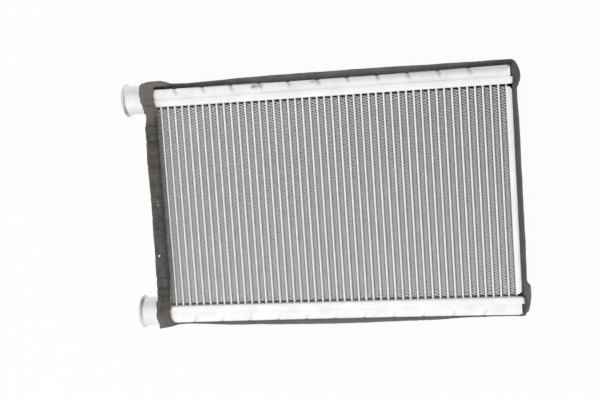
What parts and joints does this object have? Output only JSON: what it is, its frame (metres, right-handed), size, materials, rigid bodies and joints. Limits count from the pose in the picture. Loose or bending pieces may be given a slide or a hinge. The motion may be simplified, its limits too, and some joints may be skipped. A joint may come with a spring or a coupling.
{
  "type": "heater core",
  "caption": "Brazed aluminium heater core: flat tubes and folded fins between two slim tanks, two lipped pipe stubs on one side, dark foam seals round the edges.",
  "frame": {"origin": "middle of the part's footprint, on the surface that it lies on", "axes": "+X along the tanks away from the pipes, +Y up the tubes to the upper tank, +Z through the fins to the front"},
  "size_m": [0.2458, 0.157, 0.031],
  "materials": {
    "brazed_header": "controlled-atmosphere brazed aluminium, pale matt with flux bloom",
    "brazed_tank": "brazed folded aluminium sheet, pale satin",
    "pipe_metal": "formed aluminium pipe, pale satin",
    "side_plate_metal": "folded aluminium sheet, pale satin",
    "tube_metal": "brazed aluminium tube, pale satin noses",
    "fin_metal": "thin folded aluminium fin stock, matt grey",
    "side_foam": "charcoal open-cell foam sheet, creased where it is folded",
    "edge_foam": "charcoal open-cell foam tape with a paler cut edge"
  },
  "bodies": {
    "root": {"upper_header_pan": "brazed_header", "upper_tank_cover": "brazed_tank", "upper_left_end_cap": "brazed_tank", "upper_right_end_cap": "brazed_tank", "upper_pipe": "pipe_metal", "lower_header_pan": "brazed_header", "lower_tank_cover": "brazed_tank", "lower_left_end_cap": "brazed_tank", "lower_right_end_cap": "brazed_tank", "lower_pipe": "pipe_metal", "left_side_plate": "side_plate_metal", "right_side_plate": "side_plate_metal", "tubes_01": "tube_metal", "tubes_02": "tube_metal", "tubes_03": "tube_metal", "tubes_04": "tube_metal", "tubes_05": "tube_metal", "tubes_06": "tube_metal", "tubes_07": "tube_metal", "tubes_08": "tube_metal", "tubes_09": "tube_metal", "tubes_10": "tube_metal", "tubes_11": "tube_metal", "tubes_12": "tube_metal", "fins_01": "fin_metal", "fins_02": "fin_metal", "fins_03": "fin_metal", "fins_04": "fin_metal", "fins_05": "fin_metal", "fins_06": "fin_metal", "fins_07": "fin_metal", "fins_08": "fin_metal", "fins_09": "fin_metal", "fins_10": "fin_metal", "fins_11": "fin_metal", "fins_12": "fin_metal", "pipe_side_foam": "side_foam", "edge_foam_tape": "edge_foam"}
  },
  "joints": []
}
